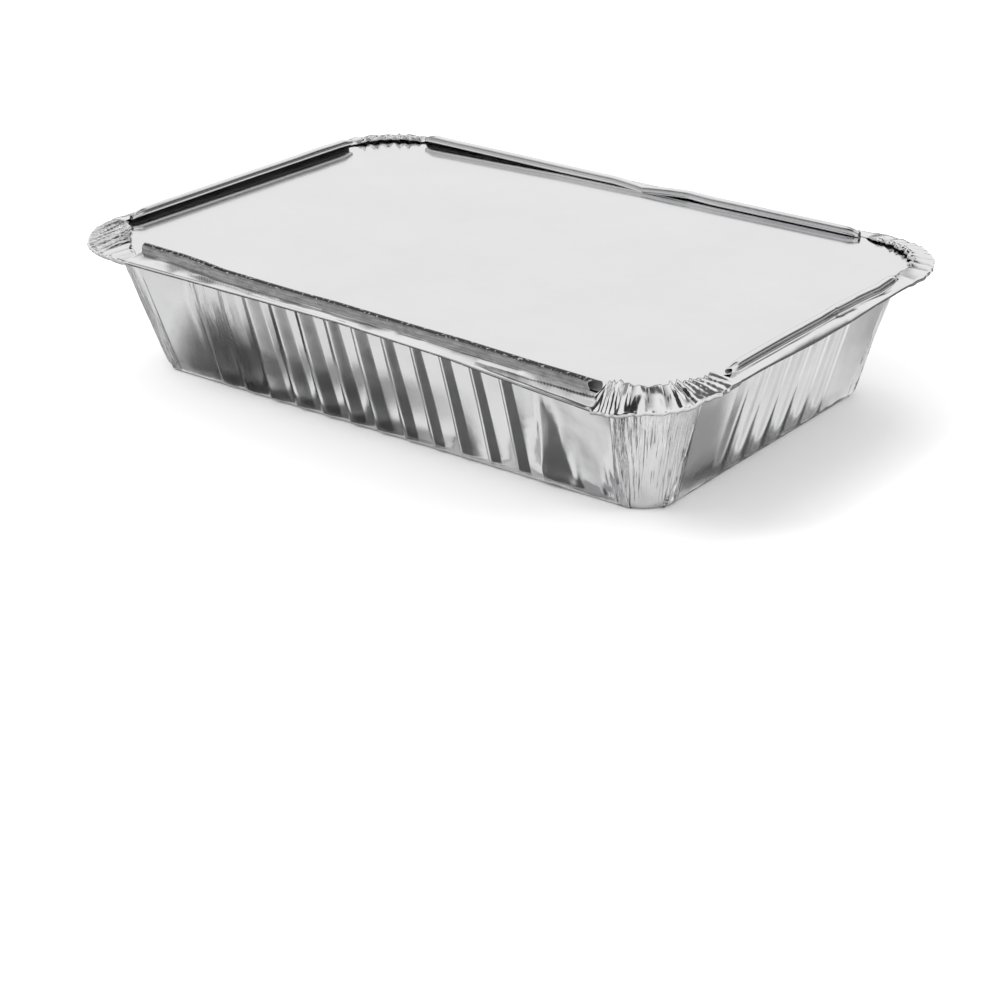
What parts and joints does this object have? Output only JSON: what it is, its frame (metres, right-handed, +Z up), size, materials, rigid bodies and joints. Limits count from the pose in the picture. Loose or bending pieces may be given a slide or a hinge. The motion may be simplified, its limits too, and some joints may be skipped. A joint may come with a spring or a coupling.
{
  "type": "foil food container",
  "caption": "oblong takeaway tray pressed from foil, with fluted sloping walls and a rolled rim folded over a flat foil-faced board lid, pleated at the corners",
  "frame": {"origin": "centre of the footprint, on the underside of the base", "axes": "X along the long sides, Y along the short sides, Z up out of the tray"},
  "size_m": [0.214, 0.15, 0.0424],
  "materials": {
    "tray_foil": "bright rolled foil, creased at the corners",
    "lid_board": "satin foil laminated on board"
  },
  "bodies": {
    "root": {"tray": "tray_foil", "lid": "lid_board"}
  },
  "joints": []
}
